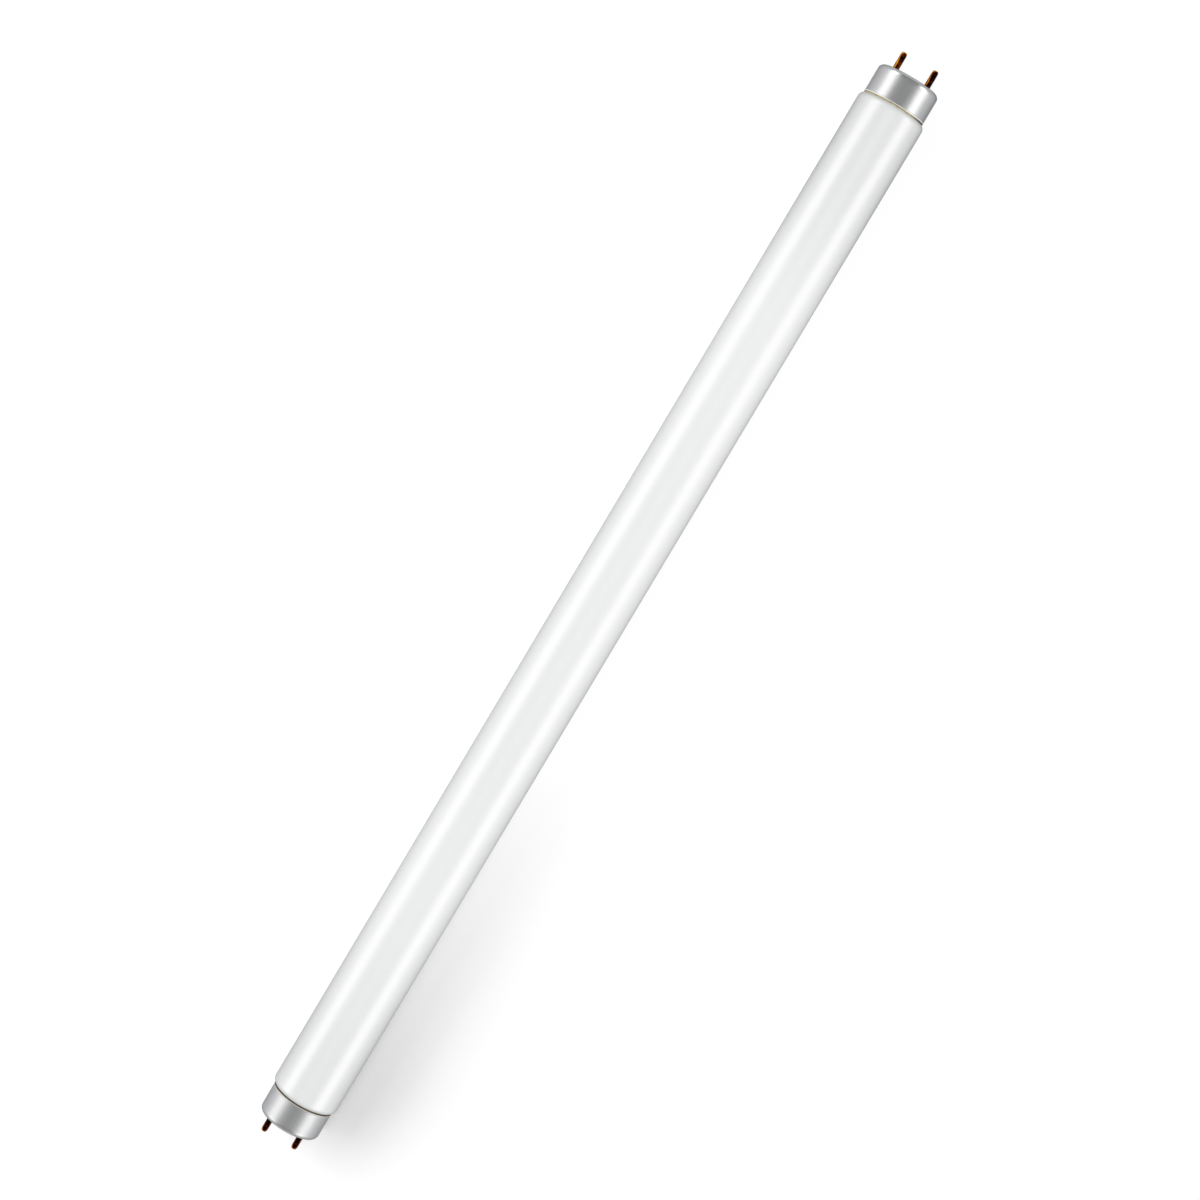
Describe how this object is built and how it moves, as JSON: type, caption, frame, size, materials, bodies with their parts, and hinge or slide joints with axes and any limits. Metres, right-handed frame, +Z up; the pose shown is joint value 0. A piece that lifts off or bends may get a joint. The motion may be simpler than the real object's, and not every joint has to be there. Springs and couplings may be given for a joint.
{
  "type": "ultraviolet tube lamp",
  "caption": "Straight ultraviolet tube lamp: a sealed white glass tube with a cemented aluminium cap and a pair of brass contact pins at each end.",
  "frame": {"origin": "middle of the tube, on its axis", "axes": "+X along the tube, +Y along each pair of pins, +Z up with the lamp lying on its side"},
  "size_m": [0.4516, 0.026, 0.026],
  "materials": {
    "coated_glass": "smooth glass, white coating inside, opaque",
    "cap_aluminium": "satin drawn aluminium",
    "plate_phenolic": "brown moulded phenolic",
    "pin_brass": "dark tarnished brass",
    "cap_cement": "dull brown capping cement",
    "lead_wire": "drawn nickel-iron wire"
  },
  "bodies": {
    "root": {"glass_tube": "coated_glass", "left_cap": "cap_aluminium", "right_cap": "cap_aluminium", "left_pin_plate": "plate_phenolic", "right_pin_plate": "plate_phenolic", "left_front_pin": "pin_brass", "left_rear_pin": "pin_brass", "right_front_pin": "pin_brass", "right_rear_pin": "pin_brass", "left_cement": "cap_cement", "right_cement": "cap_cement", "left_front_lead_wire": "lead_wire", "left_rear_lead_wire": "lead_wire", "right_front_lead_wire": "lead_wire", "right_rear_lead_wire": "lead_wire"}
  },
  "joints": []
}
